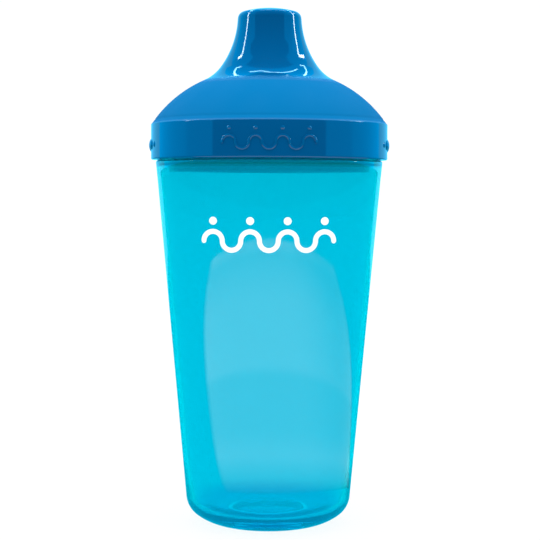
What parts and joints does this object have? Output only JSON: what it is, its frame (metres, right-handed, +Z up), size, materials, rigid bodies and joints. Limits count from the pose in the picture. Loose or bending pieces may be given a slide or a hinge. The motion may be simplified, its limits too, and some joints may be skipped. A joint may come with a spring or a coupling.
{
  "type": "sippy cup",
  "caption": "Tapered translucent tumbler with a screw lid, a moulded drinking spout, a seal ring and a push-fit spill valve.",
  "frame": {"origin": "centre of the cup's foot, on the surface that it stands on", "axes": "+Z up along the cup's axis to the spout; the printed front is -Y; the grip bumps are at +X and -X"},
  "size_m": [0.0766, 0.0758, 0.1645],
  "materials": {
    "cup_plastic": "clear tinted, glossy",
    "lid_plastic": "opaque blue, glossy",
    "seal_silicone": "matt translucent silicone",
    "holder_plastic": "satin white",
    "valve_silicone": "clear soft silicone",
    "print_ink": "white pad print"
  },
  "bodies": {
    "cup": {"cup": "cup_plastic"},
    "seal_ring": {"seal_ring": "seal_silicone"},
    "lid": {"lid": "lid_plastic"},
    "valve_holder": {"valve_holder": "holder_plastic"},
    "spout_valve": {"spout_valve": "valve_silicone"},
    "vent_valve": {"vent_valve": "valve_silicone"}
  },
  "joints": [
    {"name": "lid_rise", "type": "slide", "parent": "cup", "child": "seal_ring", "axis": [0, 0, 1], "range_m": [0, 0.02001]},
    {"name": "lid_turn", "type": "hinge", "parent": "seal_ring", "child": "lid", "pos_m": [0, 0, 0.122], "axis": [0, 0, 1], "range_deg": [0, 900]},
    {"name": "valve_pull", "type": "slide", "parent": "lid", "child": "valve_holder", "axis": [0, 0, -1], "range_m": [0, 0.026]},
    {"name": "spout_valve_pull", "type": "slide", "parent": "valve_holder", "child": "spout_valve", "axis": [0, 0, -1], "range_m": [0, 0.008]},
    {"name": "vent_valve_pull", "type": "slide", "parent": "valve_holder", "child": "vent_valve", "axis": [0, 0, -1], "range_m": [0, 0.006]}
  ],
  "couplings": [
    {"joint": "lid_rise", "follows": "lid_turn", "m_per_rad": 0.0012732}
  ]
}
